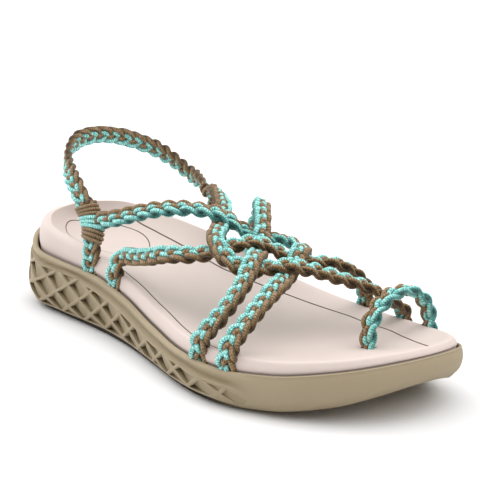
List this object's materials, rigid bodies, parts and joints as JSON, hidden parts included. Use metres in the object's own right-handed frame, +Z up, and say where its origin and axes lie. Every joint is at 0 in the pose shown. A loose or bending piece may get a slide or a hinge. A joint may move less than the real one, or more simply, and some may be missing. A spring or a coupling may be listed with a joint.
{
  "type": "walking sandal",
  "caption": "Open walking sandal for a right foot: thick moulded sole with a lattice side, cushioned footbed, braided cord straps woven over the instep, heel strap and big-toe loop.",
  "frame": {"origin": "on the floor under the middle of the sole's box", "axes": "+Y towards the toe, +X towards the wearer's right (the outer side of this right shoe), +Z up"},
  "size_m": [0.1014, 0.2676, 0.0876],
  "materials": {
    "sole_rubber": "matte moulded, tan",
    "footbed_foam": "matte soft foam, blush",
    "turquoise_cord": "knitted round cord, turquoise",
    "brown_cord": "knitted round cord, taupe brown"
  },
  "bodies": {
    "root": {"outsole": "sole_rubber", "footbed": "footbed_foam", "upper": "turquoise_cord", "toe_loop": "brown_cord"}
  },
  "joints": []
}
